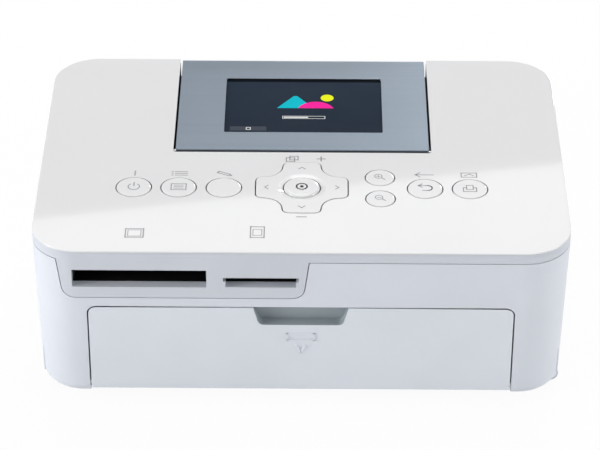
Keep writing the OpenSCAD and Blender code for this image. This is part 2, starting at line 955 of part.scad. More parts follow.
// Side view of the way through which the ribbon cassette goes in, grown by a wall
module cassette_way(by = 0) {
    polygon([
        [lane_front[0] - by, lane_z[0] - by], [lane_front[1] + by, lane_z[0] - by],
        [lane_front[1] + by, head_zone_z - by], [lane_rear[0] - by, head_zone_z - by],
        [lane_rear[0] - by, lane_z[0] - by], [lane_rear[1] + by, lane_z[0] - by],
        [lane_rear[1] + by, lane_z[1] + by], [lane_front[0] - by, lane_z[1] + by]
    ]);
}

module ribbon_bay_guide() {
    plate_z = [ribbon_door_bottom + 1, ribbon_door_top - 0.8];
    leg_x = bay_x[1] - 7.5;
    leg_t = 2;
    color([0.2, 0.21, 0.23])
        difference() {
            union() {
                along_x(bay_x[0], bay_x[1])
                    cassette_way(bay_t + bay_clear);
                along_x(bay_x[1] - bay_t, bay_x[1])
                    translate([ribbon_door_y, plate_z[0]])
                        square([ribbon_door_d, plate_z[1] - plate_z[0]]);
                for (y = [ribbon_door_y + 1, ribbon_door_rear - 1 - leg_t]) {
                    box([leg_x, bay_x[1]], [y, y + leg_t], [plate_z[0], plate_z[0] + leg_t]);
                    box([leg_x, bay_x[1] - 4], [y, y + leg_t], [floor_z, plate_z[0] + leg_t]);
                }
            }
            along_x(bay_x[0] - 1, bay_x[1] + 1)
                cassette_way(bay_clear);
            box([bay_x[1] - bay_t - 1.2, case_w], [hook_y[0] - 1, hook_y[1] + 1],
                [ribbon_door_top - 8, case_h]);
            box([bay_x[1] - 6, case_w], [rack_y[0] + 1, rack_y[1] + 2], [lane_z[1], lane_z[1] + bay_t + 1]);
        }
}

// Sliding release that pushes on the cassette's end
module ribbon_eject_lever() {
    z = lane_z[1] + bay_clear + bay_t + 0.35;
    end_x = bay_x[1] - 2;
    grips = 5;
    color([0.75, 0.76, 0.78])
        union() {
            box([end_x - 11, end_x], rack_y, [z, z + 1.4]);
            box([end_x - 3, end_x - 0.5], [rack_y[0] + 3, rack_y[1] - 0.6], [lane_z[1] - 1.2, z + 1]);
            for (i = [1:grips])
                box([end_x - 2 * i - 0.4, end_x - 2 * i + 0.4], rack_y, [z + 1.3, z + 1.9]);
        }
}

// ---------- Print mechanism ----------

bush_r = 2.4;
bush_rim = 0.6;
bush_bore_r = 1.5;
frame_y = [-46, 56];
frame_top = [43.6, 45.5, 51];
frame_foot = 8;
frame_foot_y = [-44, 42];
frame_foot_d = 10;
window_y = [24, 38];
window_z = [9, 17];
bar_y = [-45.8, 54.4];
bar_t = 1.2;
pin_r = 1;
motor_collar_r = 3;
roller_half = [56, 54, 50];
pickup_tyre_x = 12;
pickup_tyre_half = 8;
shaft_r = bush_bore_r - bore_clear;
roller_places = [platen_pos, capstan_pos, pinch_pos, pickup_pos];

module gear(teeth, pos, phase, bore_r) {
    pitch_r = gear_module * teeth / 2;
    tip_r = pitch_r + 0.9 * gear_module;
    root_r = pitch_r - 1.15 * gear_module;
    pitch_half = 90 / teeth - 2;
    tip_half = pitch_half * 0.45;
    root_half = pitch_half * 1.45;
    difference() {
        translate([gear_x - gear_w / 2, pos[0], pos[1]])
            rotate([90, 0, 90])
                linear_extrude(gear_w)
                    polygon([for (i = [0:teeth - 1], s = [
                        [root_r, -root_half], [pitch_r, -pitch_half], [tip_r, -tip_half],
                        [tip_r, tip_half], [pitch_r, pitch_half], [root_r, root_half]
                    ]) let (a = phase + 360 * i / teeth + s[1]) s[0] * [cos(a), sin(a)]]);
        rod_x(-big, big, pos, bore_r);
    }
}

// Pressed side plate with inturned feet, bush holes and a hole for the head's pivot
module side_frame(x) {
    inward = x > 0 ? -1 : 1;
    foot_x = [min(x, x + inward * frame_foot), max(x, x + inward * frame_foot)];
    difference() {
        union() {
            along_x(x - frame_t / 2, x + frame_t / 2)
                polygon([
                    [frame_y[0], floor_z], [frame_y[1], floor_z], [frame_y[1], frame_top[2]],
                    [40, frame_top[2]], [30, frame_top[1]], [-24, frame_top[1]],
                    [-27, frame_top[0]], [frame_y[0], frame_top[0]]
                ]);
            for (y = frame_foot_y)
                box(foot_x, [y, y + frame_foot_d], [floor_z, floor_z + frame_t]);
        }
        for (p = roller_places)
            rod_x(x - frame_t, x + frame_t, p, bush_r);
        rod_x(x - frame_t, x + frame_t, head_pivot, head_pivot_r + bore_clear);
        for (y = frame_foot_y)
            translate([x + inward * 5, y + frame_foot_d / 2, 0])
                cylinder(h = floor_z + frame_t + 1, r = screw_r);
        box([x - frame_t, x + frame_t], window_y, window_z);
    }
}

module left_side_frame() {
    color([0.7, 0.71, 0.73])
        difference() {
            side_frame(-frame_x);
            rod_x(-frame_out - 1, -frame_in + 1, takeup_pos, shaft_r + bore_clear);
            rod_x(-frame_out - 1, -frame_in + 1, idler_pos, pin_r);
            rod_x(-frame_out - 1, -frame_in + 1, pinion_pos, motor_collar_r);
        }
}

module right_side_frame() {
    color([0.7, 0.71, 0.73])
        difference() {
            side_frame(frame_x);
            along_x(frame_in - 1, frame_out + 1)
                cassette_way(bay_clear + 0.1);
        }
}

module frame_crossbars() {
    color([0.66, 0.67, 0.69])
        difference() {
            union() {
                box([-frame_in, frame_in], [bar_y[0], bar_y[0] + bar_t], [28, 40]);
                box([-frame_in, frame_in], [bar_y[1], bar_y[1] + bar_t], [34, 50]);
                box([-frame_in, frame_in], [bar_y[1] - 4, bar_y[1] + bar_t], [34, 34 + bar_t]);
            }
            for (x = [-40:20:40])
                rod_y(bar_y[1] - 1, bar_y[1] + bar_t + 1, [x, 43], 2.5);
        }
}

module roller_bushes() {
    color([0.85, 0.85, 0.83])
        for (x = [-frame_x, frame_x], p = roller_places)
            difference() {
                union() {
                    rod_x(x - frame_t / 2, x + frame_t / 2, p, bush_r);
                    if (x > 0)
                        rod_x(frame_in - bush_rim, frame_in, p, bush_r + bush_rim);
                    else
                        rod_x(-frame_in, -frame_in + bush_rim, p, bush_r + bush_rim);
                }
                rod_x(x - frame_t * 2, x + frame_t * 2, p, bush_bore_r);
            }
}

module roller(pos, r, length, drive_end) {
    union() {
        rod_x(-length, length, pos, r);
        rod_x(drive_end, frame_out + 0.5, pos, shaft_r);
    }
}

gear_end = gear_x - gear_w / 2;

module platen_roller() {
    color([0.18, 0.18, 0.19])
        roller(platen_pos, platen_r, roller_half[0], gear_end);
}

module capstan_roller() {
    color([0.75, 0.76, 0.78])
        roller(capstan_pos, capstan_r, roller_half[1], gear_end);
}

module pinch_roller() {
    color([0.22, 0.22, 0.23])
        roller(pinch_pos, pinch_r, roller_half[2], -frame_out - 0.5);
}

module pickup_roller() {
    color([0.25, 0.25, 0.26])
        union() {
            rod_x(gear_end, frame_out + 0.5, pickup_pos, shaft_r);
            for (x = [-pickup_tyre_x, pickup_tyre_x])
                rod_x(x - pickup_tyre_half, x + pickup_tyre_half, pickup_pos, pickup_r);
        }
}

module capstan_gear() {
    color([0.9, 0.9, 0.88])
        gear(capstan_teeth, capstan_pos, capstan_phase, shaft_r);
}

module platen_gear() {
    color([0.9, 0.9, 0.88])
        gear(platen_teeth, platen_pos, platen_phase, shaft_r);
}

module pickup_gear() {
    color([0.9, 0.9, 0.88])
        gear(pickup_teeth, pickup_pos, pickup_phase, shaft_r);
}

module idler_gear() {
    color([0.9, 0.9, 0.88])
        union() {
            gear(idler_teeth, idler_pos, idler_phase, 0.5);
            rod_x(gear_end, -frame_in + 1, idler_pos, pin_r - bore_clear);
        }
}

module takeup_hub() {
    color([0.85, 0.86, 0.9])
        union() {
            gear(takeup_teeth, takeup_pos, takeup_phase, 0.5);
            rod_x(gear_end, -frame_in + 1.2, takeup_pos, shaft_r);
            rod_x(-frame_in + 0.6, -frame_in + 3.4, takeup_pos, takeup_hub_r);
            for (a = [0:120:240])
                translate([-frame_in + 3.4, takeup_pos[0], takeup_pos[1]])
                    rotate([a, 0, 0])
                        translate([0, -0.7, 1.5])
                            cube([2.4, 1.4, 2.6]);
        }
}

motor_r = 8;
motor_l = 16;

module feed_motor() {
    x = -frame_in;
    color([0.6, 0.61, 0.63])
        difference() {
            union() {
                rod_x(x + 0.8, x + motor_l, pinion_pos, motor_r);
                rod_x(x, x + 1, pinion_pos, motor_collar_r);
                along_x(x, x + 0.8)
                    translate(pinion_pos)
                        rounded_rect(-motor_r - 4, motor_r + 4, -3, 3, 2.4);
                rod_x(x + motor_l, x + motor_l + 1, pinion_pos, motor_collar_r);
            }
            rod_x(x - 1, x + motor_l - 2, pinion_pos, pin_r);
        }
}

module motor_pinion() {
    color([0.8, 0.72, 0.45])
        union() {
            gear(pinion_teeth, pinion_pos, pinion_phase, 0.5);
            rod_x(gear_end, -frame_in + motor_l - 3, pinion_pos, pin_r - bore_clear);
        }
}

module head_pivot_shaft() {
    color([0.75, 0.76, 0.78])
        rod_x(-frame_out - 1, frame_out + 1, head_pivot, head_pivot_r);
}

// Side view of one head arm: an eye on the pivot, a bar over the rear spool and a drop to the head
module arm_outline() {
    pivot_r = 3.2;
    tail_z = head_pivot[1] - 0.1;
    union() {
        translate(head_pivot)
            circle(pivot_r);
        polygon([
            head_pivot + [0, pivot_r], [16, arm_top_z], [-18, arm_top_z],
            [-18, arm_low_z], [-3, arm_low_z], [4, tail_z],
            head_pivot + [0, -1]
        ]);
    }
}

module head_arms() {
    color([0.68, 0.69, 0.71])
        difference() {
            union() {
                mirrored_x()
                    along_x(arm_x - arm_t / 2, arm_x + arm_t / 2)
                        arm_outline();
                box([-arm_x, arm_x], bridge_y, [arm_top_z - 1.4, arm_top_z - 0.2]);
            }
            rod_x(-big, big, head_pivot, head_pivot_r);
            for (x = [-36:24:36])
                translate([x, (bridge_y[0] + bridge_y[1]) / 2, 0])
                    cylinder(h = big, r = 3);
        }
}

// Heater bead on its carrier under a finned heat sink
module thermal_head() {
    y = platen_pos[0] - head_set_forward;
    sink_z = 46;
    bead_r = 0.8;
    fin_count = 6;
    fin_pitch = 1.8;
    fin_top_z = 50.2;
    color([0.78, 0.79, 0.8])
        union() {
            box([-arm_x + arm_t / 2, arm_x - arm_t / 2], [y - 5, y + 6], [sink_z, sink_z + 1.5]);
            box([-head_x, head_x], [y - 3.5, y + 4], [sink_z - 3, sink_z]);
            box([-head_x, head_x], [y - 1.6, y + 1.6], [head_tip_z + 0.6, sink_z - 3]);
            rod_x(-head_x, head_x, [y, head_tip_z + bead_r], bead_r);
            for (i = [0:fin_count - 1])
                box([-arm_x + 4, arm_x - 4], [y - 4.6 + i * fin_pitch, y - 3.8 + i * fin_pitch],
                    [sink_z + 1.5, fin_top_z]);
        }
}

// ---------- Paper path, boards and connectors ----------

path_z = capstan_pos[1] - capstan_r;

module paper_guide() {
    t = 1.2;
    y = [16, 56];
    top = path_z - 0.9;
    color([0.22, 0.23, 0.25])
        union() {
            box([-frame_in, frame_in], y, [top - t, top]);
            for (x = [-48:16:48])
                box([x - t / 2, x + t / 2], y, [top, top + t / 2]);
            mirrored_x()
                box([frame_in - 1, frame_in], y, [top - 2, top]);
        }
}

board_z = 9;
board_t = 1.6;
board_y = [15, 56.6];
board_x = [-38, 60];

module main_board() {
    top = board_z + board_t;
    posts = [[-34, 19], [52, 19], [-34, 44], [52, 40]];
    color([0.12, 0.42, 0.27])
        union() {
            box(board_x, board_y, [board_z, top]);
            for (p = posts)
                translate([p[0], p[1], floor_z])
                    cylinder(h = board_z - floor_z, r = 2.4);
            for (chip = [[[-14, 2], [24, 40], 1.6], [[8, 20], [22, 32], 1.4], [[-34, -26], [26, 40], 6]])
                box(chip[0], chip[1], [top, top + chip[2]]);
            for (x = [30, 40])
                translate([x, 26, top])
                    cylinder(h = 10, r = 4);
        }
}

module dc_jack() {
    end_y = rear_y - 0.6 - draft_at(jack_z);
    half = 4.5;
    color([0.15, 0.15, 0.16])
        union() {
            difference() {
                union() {
                    box([jack_x - half, jack_x + half], [end_y - 13, end_y - 1.9],
                        [board_z + board_t, jack_z + half]);
                    rod_y(end_y - 2, end_y, [jack_x, jack_z], jack_r);
                }
                rod_y(end_y - 10, end_y + 1, [jack_x, jack_z], jack_bore_r);
            }
            rod_y(end_y - 11, end_y - 2.5, [jack_x, jack_z], jack_pin_r);
        }
}

module usb_port() {
    end_y = rear_y - 0.4 - draft_at(usb_z);
    base_z = board_z + board_t;
    z1 = usb_z + usb_half[1] - 0.6;
    x = [usb_x - usb_half[0], usb_x + usb_half[0]];
    color([0.72, 0.73, 0.75])
        union() {
            difference() {
                box(x, [end_y - 16, end_y], [base_z, z1 + usb_t]);
                box([x[0] + usb_t, x[1] - usb_t], [end_y - 14, end_y + 1], [base_z + usb_t, z1]);
            }
            box([usb_x - 3, usb_x + 3], [end_y - 15, end_y - 4], [base_z + 1.8, base_z + 4]);
        }
}

module card_connectors() {
    y = [front_y + bezel_t, -28];
    skin = 1;
    pin_rows = [48.2, 49.6];
    pin_pitch = 3;
    pin_t = 0.6;
    color([0.1, 0.1, 0.11])
        union() {
            difference() {
                box([cf_slot[0] - skin, cf_slot[1] + skin], y, [45.2, 52.4]);
                box([cf_slot[0] + 0.4, cf_slot[1] - 0.4], [y[0] - 1, y[1] - 3], [46.2, 51.6]);
            }
            for (z = pin_rows, i = [0:11]) {
                x = cf_slot[0] + 5 + i * pin_pitch;
                box([x, x + pin_t], [y[1] - 8, y[1] - 2.5], [z, z + pin_t]);
            }
            difference() {
                box([sd_slot[0] - skin, sd_slot[1] + skin], [y[0], -36], [45.4, 50.2]);
                box([sd_slot[0] + 0.3, sd_slot[1] - 0.3], [y[0] - 1, -38], [46.3, 49.2]);
            }
            box([cf_slot[0] + 4, sd_slot[1]], [y[0] + 5, y[1]], [44.4, 45.4]);
        }
}

main_case();
base_plate();
rubber_feet();
case_screws();
upper_case();
top_fascia();
display_well();
lcd_bezel();
lcd_window();
lcd_display();
lcd_back_shell();
lcd_hinge_shaft();
lcd_hinge_brackets();
power_key();
menu_key();
edit_key();
back_key();
print_key();
zoom_in_key();
zoom_out_key();
nav_collar();
nav_pad();
ok_key();
key_board();
tact_switches();
paper_door();
paper_door_pins();
paper_door_catches();
ribbon_door();
ribbon_door_pin();
ribbon_bay_guide();
ribbon_eject_lever();
left_side_frame();
right_side_frame();
frame_crossbars();
roller_bushes();
thermal_head();
head_arms();
head_pivot_shaft();
platen_roller();
capstan_roller();
pinch_roller();
pickup_roller();
feed_motor();
motor_pinion();
idler_gear();
capstan_gear();
platen_gear();
pickup_gear();
takeup_hub();
paper_guide();
main_board();
card_connectors();
dc_jack();
usb_port();
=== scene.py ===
import math

import bmesh
import bpy
from mathutils import Matrix, Vector


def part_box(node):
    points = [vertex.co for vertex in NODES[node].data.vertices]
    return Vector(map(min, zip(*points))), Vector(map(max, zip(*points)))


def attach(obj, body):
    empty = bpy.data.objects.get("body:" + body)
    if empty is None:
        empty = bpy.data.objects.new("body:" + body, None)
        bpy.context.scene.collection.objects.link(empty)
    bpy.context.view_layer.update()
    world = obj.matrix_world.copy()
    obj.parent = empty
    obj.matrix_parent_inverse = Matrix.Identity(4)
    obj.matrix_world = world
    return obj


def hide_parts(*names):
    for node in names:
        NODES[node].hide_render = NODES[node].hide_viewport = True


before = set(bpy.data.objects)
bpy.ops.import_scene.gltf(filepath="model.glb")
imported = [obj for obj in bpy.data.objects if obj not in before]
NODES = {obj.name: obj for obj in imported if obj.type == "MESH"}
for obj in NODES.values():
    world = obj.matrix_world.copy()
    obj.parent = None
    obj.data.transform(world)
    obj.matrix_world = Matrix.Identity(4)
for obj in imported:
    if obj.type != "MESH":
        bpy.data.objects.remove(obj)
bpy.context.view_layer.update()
MM = 0.001
# Depth of the painted shadow band along the screen's rear edge
SCREEN_SHADOW_BAND = 1.6 * MM


# ---------------------------------------------------------------- shader maths

class Wire:
    """One output of a node. Python's operators on it add Math nodes to its tree."""

    def __init__(self, paint, socket):
        self.paint = paint
        self.socket = socket

    def maths(self, operation, *values):
        return self.paint.node("Math", {"operation": operation}, dict(enumerate(values)))

    def __add__(self, other):
        return self.maths("ADD", self, other)

    def __mul__(self, other):
        return self.maths("MULTIPLY", self, other)

    def __gt__(self, other):
        return self.maths("GREATER_THAN", self, other)

    def __lt__(self, other):
        return self.maths("LESS_THAN", self, other)



class Paint:
    """A node material in the making."""

    def __init__(self, name):
        self.material = bpy.data.materials.new(name)
        self.material.use_nodes = True
        self.nodes = self.material.node_tree.nodes
        self.links = self.material.node_tree.links
        self.nodes.clear()

    def node(self, kind, settings=None, inputs=None, output=0):
        """A shader node of any kind: its settings first, then the values or wires of its sockets."""
        made = self.nodes.new("ShaderNode" + kind)
        for key, value in (settings or {}).items():
            setattr(made, key, value)
        for key, value in (inputs or {}).items():
            if isinstance(value, Wire):
                self.links.new(value.socket, made.inputs[key])
            else:
                made.inputs[key].default_value = value
        return Wire(self, made.outputs[output]) if len(made.outputs) else made

    def place(self):
        """Position on the object, in metres."""
        return self.node("NewGeometry", output="Position")

    def axes(self, vector):
        split = self.node("SeparateXYZ", {}, {0: vector}, "X")
        made = split.socket.node
        return split, Wire(self, made.outputs["Y"]), Wire(self, made.outputs["Z"])

    def stretched(self, vector, scale):
        return self.node("Mapping", {}, {"Vector": vector, "Scale": scale})

    def noise(self, vector, scale, detail=3.0, rough=0.5):
        return self.node("TexNoise", {}, {"Vector": vector, "Scale": scale, "Detail": detail, "Roughness": rough})

    def fit(self, value, low, high, to_low, to_high):
        return self.node("MapRange", {}, {0: value, 1: low, 2: high, 3: to_low, 4: to_high})

    def between(self, value, low, high):
        """One where a value lies between two limits, else zero."""
        return (value > low) * (value < high)

    def mix(self, factor, first, second):
        """Blend of two colours, each a wire or a tuple."""
        first, second = (c if isinstance(c, Wire) else rgba(c) for c in (first, second))
        return self.node("Mix", {"data_type": "RGBA"}, {"Factor": factor, 6: first, 7: second}, 2)

    def bump(self, height, strength, depth):
        return self.node("Bump", {}, {"Height": height, "Strength": strength, "Distance": depth})

    def surface(self, **sockets):
        """The closing Principled surface; a socket's name is given with underscores."""
        inputs = {key.replace("_", " "): value for key, value in sockets.items()}
        for key, value in inputs.items():
            if isinstance(value, tuple):
                inputs[key] = rgba(value)
        shader = self.node("BsdfPrincipled", {}, inputs)
        self.node("OutputMaterial", {}, {"Surface": shader})
        return self.material


def rgba(color):
    return (*color[:3], 1.0)


def grey(level):
    return (level, level, level)


def srgb(red, green, blue):
    """Linear colour of an 8-bit display colour."""
    def linear(value):
        value /= 255
        return value / 12.92 if value <= 0.04045 else ((value + 0.055) / 1.055) ** 2.4
    return tuple(linear(value) for value in (red, green, blue))


# ---------------------------------------------------------------- finishes

def moulded_plastic(name, color, roughness=0.42, grain=0.25):
    """Satin moulding: fine spark-eroded grain, faint flow mottling and slight handling shine."""
    paint = Paint(name)
    spot = paint.place()
    mottle = paint.noise(spot, 38.0, 4.0)
    fine = paint.noise(spot, 2600.0, 2.0)
    pits = paint.node("TexVoronoi", {}, {"Vector": spot, "Scale": 2100.0})
    darker = tuple(0.965 * value for value in color)
    base = paint.mix(paint.fit(mottle, 0.35, 0.65, 0.0, 1.0), darker, color)
    rough = paint.fit(mottle, 0.3, 0.7, roughness - 0.03, roughness + 0.05)
    height = fine * 0.6 + pits * 0.4
    return paint.surface(Base_Color=base, Roughness=rough, Specular_IOR_Level=0.45,
                         Normal=paint.bump(height, grain, 0.03 * MM))


def polished_plastic(name, color, roughness=0.07, coat=0.6):
    """High-gloss moulding: very slight waviness, faint swirl marks in its shine."""
    paint = Paint(name)
    spot = paint.place()
    wave = paint.noise(spot, 26.0, 1.0)
    swirl = paint.noise(paint.stretched(spot, (60.0, 900.0, 60.0)), 3.0, 3.0)
    base = paint.mix(paint.fit(wave, 0.3, 0.7, 0.0, 1.0), tuple(0.985 * value for value in color), color)
    rough = paint.fit(swirl, 0.3, 0.8, roughness - 0.02, roughness + 0.03)
    return paint.surface(Base_Color=base, Roughness=rough, Coat_Weight=coat, Coat_Roughness=0.03,
                         Normal=paint.bump(wave, 0.04, 0.25 * MM))


def brushed_film(name, dark, light):
    """Silver-blue film with very fine brushing across the panel and a soft sheen."""
    paint = Paint(name)
    spot = paint.place()
    hair = paint.noise(paint.stretched(spot, (18.0, 5200.0, 5200.0)), 1.0, 3.0, 0.6)
    broad = paint.noise(paint.stretched(spot, (6.0, 300.0, 300.0)), 1.0, 2.0)
    base = paint.mix(paint.fit(hair * 0.7 + broad * 0.3, 0.3, 0.7, 0.0, 1.0), dark, light)
    rough = paint.fit(hair * 0.6 + broad * 0.4, 0.3, 0.7, 0.32, 0.38)
    return paint.surface(Base_Color=base, Roughness=rough, Metallic=0.55,
                         Normal=paint.bump(hair, 0.03, 0.02 * MM))


def screen_cover(name, low, high):
    """Dark screen behind clear plastic, a little darker towards its front edge, with a painted shadow band along its
    rear edge where the bezel's recess shades it.
    """
    paint = Paint(name)
    spot = paint.place()
    along = paint.axes(spot)
    first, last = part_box("lcd_window")
    rise = paint.fit(along[1], first.y, last.y, 1.0, 0.0)
    haze = paint.noise(spot, 90.0, 2.0)
    lit = paint.mix(rise * 0.8 + haze * 0.2, low, high)
    # Painted shadow: the band along the window's rear edge is darkened as the bezel's recess would shade it.
    recess_shadow = paint.between(along[1], last.y - SCREEN_SHADOW_BAND, last.y)
    base = paint.mix(recess_shadow * 0.75, lit, grey(0.0))
    return paint.surface(Base_Color=base, Roughness=paint.fit(haze, 0.3, 0.7, 0.12, 0.2),
                         Specular_IOR_Level=0.08)


def soft_rubber(name, color):
    paint = Paint(name)
    spot = paint.place()
    dust = paint.noise(spot, 320.0, 4.0)
    fine = paint.noise(spot, 1900.0, 2.0)
    base = paint.mix(paint.fit(dust, 0.5, 0.8, 0.0, 0.5), color, tuple(value * 1.8 + 0.02 for value in color))
    return paint.surface(Base_Color=base, Roughness=paint.fit(dust, 0.2, 0.8, 0.68, 0.85),
                         Normal=paint.bump(fine, 0.35, 0.05 * MM))


def drawn_metal(name, color, roughness=0.3, grain=(30.0, 1500.0, 1500.0)):
    """Rolled or turned metal with fine lines along its grain."""
    paint = Paint(name)
    spot = paint.place()
    lines = paint.noise(paint.stretched(spot, grain), 1.0, 3.0, 0.6)
    cloud = paint.noise(spot, 60.0, 3.0)
    base = paint.mix(paint.fit(cloud, 0.3, 0.7, 0.0, 1.0), tuple(0.88 * value for value in color), color)
    rough = paint.fit(lines, 0.3, 0.7, roughness - 0.08, roughness + 0.12)
    return paint.surface(Base_Color=base, Roughness=rough, Metallic=1.0,
                         Normal=paint.bump(lines, 0.12, 0.02 * MM))


def solder_mask(name, mask, track):
    """Circuit board: lacquered green with paler tracks under the mask."""
    paint = Paint(name)
    spot = paint.place()
    tracks = paint.node("TexBrick", {"offset": 0.35}, {
        "Vector": spot, "Scale": 210.0, "Mortar Size": 0.03, "Brick Width": 1.7, "Row Height": 0.31,
        "Color1": rgba(grey(0.0)), "Color2": rgba(grey(0.25)), "Mortar": rgba(grey(1.0))})
    weave = paint.noise(spot, 700.0, 2.0)
    base = paint.mix(tracks * 0.55, mask, track)
    return paint.surface(Base_Color=base, Roughness=paint.fit(weave, 0.3, 0.7, 0.3, 0.42),
                         Normal=paint.bump(tracks, 0.2, 0.04 * MM))


def printed_ink(name, color):
    """Silk-screened ink: matt, a touch uneven in its cover."""
    paint = Paint(name)
    cover = paint.noise(paint.place(), 900.0, 3.0)
    base = paint.mix(paint.fit(cover, 0.3, 0.7, 0.0, 1.0), tuple(value * 0.94 for value in color), color)
    return paint.surface(Base_Color=base, Roughness=paint.fit(cover, 0.3, 0.7, 0.4, 0.55))


def lit_pixels(name, color, strength=0.9):
    """Part of the lit picture: its own light with the fine grid of the display."""
    paint = Paint(name)
    grid = paint.node("TexChecker", {}, {"Vector": paint.place(), "Scale": 6000.0,
                                        "Color1": rgba(grey(0.9)), "Color2": rgba(grey(1.0))})
    glow = paint.mix(grid, tuple(0.9 * value for value in color), color)
    return paint.surface(Base_Color=tuple(0.1 * value for value in color), Roughness=0.25,
                         Specular_IOR_Level=0.08, Emission_Color=glow, Emission_Strength=strength)


# ---------------------------------------------------------------- pieces from outlines

def arc_points(center, radius, first, last, count=16):
    """Points of an arc in degrees, in millimetres."""
    steps = [math.radians(first + (last - first) * i / count) for i in range(count + 1)]
    return [(center[0] + radius * math.cos(a), center[1] + radius * math.sin(a)) for a in steps]


def line(points, width, closed=False):
    """Outline of a stroke along some points: the loops that fill it."""
    loops = []
    pairs = list(zip(points, points[1:] + points[:1])) if closed else list(zip(points, points[1:]))
    for start, end in pairs:
        a, b = Vector(start), Vector(end)
        along = (b - a).normalized() * width / 2
        side = Vector((-along.y, along.x))
        a, b = a - along, b + along
        loops.append([a + side, a - side, b - side, b + side])
    return loops


def ring(center, radius, width, first=0.0, last=360.0, count=32):
    """A band along an arc."""
    outer = arc_points(center, radius + width / 2, first, last, count)
    inner = arc_points(center, radius - width / 2, first, last, count)
    return [[outer[i], outer[i + 1], inner[i + 1], inner[i]] for i in range(count)]


def frame_line(x0, y0, x1, y1, width):
    """The four strokes of a rectangle."""
    return line([(x0, y0), (x1, y0), (x1, y1), (x0, y1)], width, closed=True)


def filled(x0, y0, x1, y1):
    return [[(x0, y0), (x1, y0), (x1, y1), (x0, y1)]]


def disc(center, radius):
    return [arc_points(center, radius, 0, 345, 23)]


def turned(loops, center, degrees):
    """Loops turned about a point."""
    c, s = math.cos(math.radians(degrees)), math.sin(math.radians(degrees))
    x0, y0 = center
    return [[(x0 + (x - x0) * c - (y - y0) * s, y0 + (x - x0) * s + (y - y0) * c) for x, y in loop] for loop in loops]


def print_mark(name, loops, level, material, body, thickness=0.02, lie=None):
    """A thin mark: loops in millimetres on a level face at that height, or on the face that a matrix gives."""
    mesh = bmesh.new()
    for loop in loops:
        low = [mesh.verts.new((p[0] * MM, p[1] * MM, level * MM)) for p in loop]
        high = [mesh.verts.new((p[0] * MM, p[1] * MM, (level + thickness) * MM)) for p in loop]
        mesh.faces.new(high)
        mesh.faces.new(low[::-1])
        for i, vert in enumerate(low):
            j = (i + 1) % len(low)
            mesh.faces.new([vert, low[j], high[j], high[i]])
    bmesh.ops.recalc_face_normals(mesh, faces=mesh.faces)
    if lie:
        bmesh.ops.transform(mesh, matrix=lie, verts=mesh.verts)
    data = bpy.data.meshes.new(name)
    mesh.to_mesh(data)
    mesh.free()
    data.materials.append(material)
    made = bpy.data.objects.new(name, data)
    bpy.context.scene.collection.objects.link(made)
    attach(made, body)
    return made


# ---------------------------------------------------------------- materials

CASE = moulded_plastic("satin_case", srgb(221, 225, 233))
DOOR = moulded_plastic("satin_door", srgb(226, 231, 238))
# A slightly greyer copy of the case plastic on the upper case: painted shade for the band under the cover's rim.
UPPER_SHADE = moulded_plastic("satin_upper_painted_shade", srgb(210, 214, 222))
# A darker grey for the door's finger recess: painted shade that stands in for the recess's shadow.
RECESS_SHADE = moulded_plastic("satin_recess_painted_shade", srgb(166, 176, 181))
COVER = polished_plastic("gloss_cover", srgb(236, 236, 237), 0.035)
KEYCAP = polished_plastic("gloss_keycap", srgb(234, 234, 235), 0.12, 0.4)
PANEL = brushed_film("brushed_panel", srgb(138, 150, 163), srgb(144, 156, 169))
SCREEN = screen_cover("dark_screen", srgb(44, 55, 69), srgb(36, 45, 58))
BLACK = moulded_plastic("black_moulding", srgb(16, 17, 19), 0.5)
SHELL = moulded_plastic("panel_shell", srgb(96, 102, 110), 0.45)
RUBBER = soft_rubber("feed_rubber", srgb(42, 42, 44))
FEET = soft_rubber("foot_rubber", srgb(70, 71, 74))
STEEL = drawn_metal("plated_steel", srgb(196, 198, 202))
SHAFT = drawn_metal("ground_shaft", srgb(206, 208, 211), 0.2, (1500.0, 60.0, 60.0))
ALLOY = drawn_metal("extruded_alloy", srgb(205, 207, 210), 0.35)
BRASS = drawn_metal("turned_brass", srgb(214, 184, 112), 0.25, (1500.0, 60.0, 60.0))
ACETAL = moulded_plastic("gear_acetal", srgb(228, 228, 222), 0.38, 0.12)
BOARD = solder_mask("green_board", srgb(22, 84, 52), srgb(66, 128, 82))
INK = printed_ink("grey_ink", srgb(160, 160, 164))
KEY_INK = printed_ink("key_ink", srgb(150, 150, 155))

FRONT_FACING = 0.9

FINISHES = {
    CASE: ["main_case", "ribbon_door", "base_plate"],
    UPPER_SHADE: ["upper_case"],
    DOOR: ["paper_door"],
    COVER: ["top_fascia"],
    KEYCAP: ["power_key", "menu_key", "edit_key", "back_key", "print_key", "zoom_in_key", "zoom_out_key",
             "nav_pad", "ok_key"],
    PANEL: ["lcd_bezel"],
    SCREEN: ["lcd_window"],
    SHELL: ["lcd_back_shell"],
    BLACK: ["display_well", "lcd_display", "tact_switches", "ribbon_bay_guide", "paper_guide", "card_connectors",
            "dc_jack"],
    RUBBER: ["nav_collar", "platen_roller", "pinch_roller", "pickup_roller"],
    FEET: ["rubber_feet"],
    STEEL: ["case_screws", "lcd_hinge_brackets", "paper_door_pins", "paper_door_catches", "ribbon_door_pin",
            "left_side_frame", "right_side_frame", "frame_crossbars", "head_arms", "feed_motor", "usb_port"],
    SHAFT: ["lcd_hinge_shaft", "head_pivot_shaft", "capstan_roller"],
    ALLOY: ["thermal_head"],
    BRASS: ["motor_pinion"],
    ACETAL: ["ribbon_eject_lever", "roller_bushes", "idler_gear", "capstan_gear", "platen_gear", "pickup_gear",
             "takeup_hub"],
    BOARD: ["key_board", "main_board"],
}


def apply_finishes():
    """Each node gets its material, and the panel's front edge a black one: painted shade deep in its gap."""
    for material, names in FINISHES.items():
        for name in names:
            NODES[name].data.materials.clear()
            NODES[name].data.materials.append(material)
    bezel = NODES["lcd_bezel"].data
    bezel.materials.append(BLACK)
    # Black on the bezel's front faces is painted shade for the gap in front of the panel.
    for face in bezel.polygons:
        face.material_index = int(face.normal.y < -FRONT_FACING)


# ---------------------------------------------------------------- printed marks

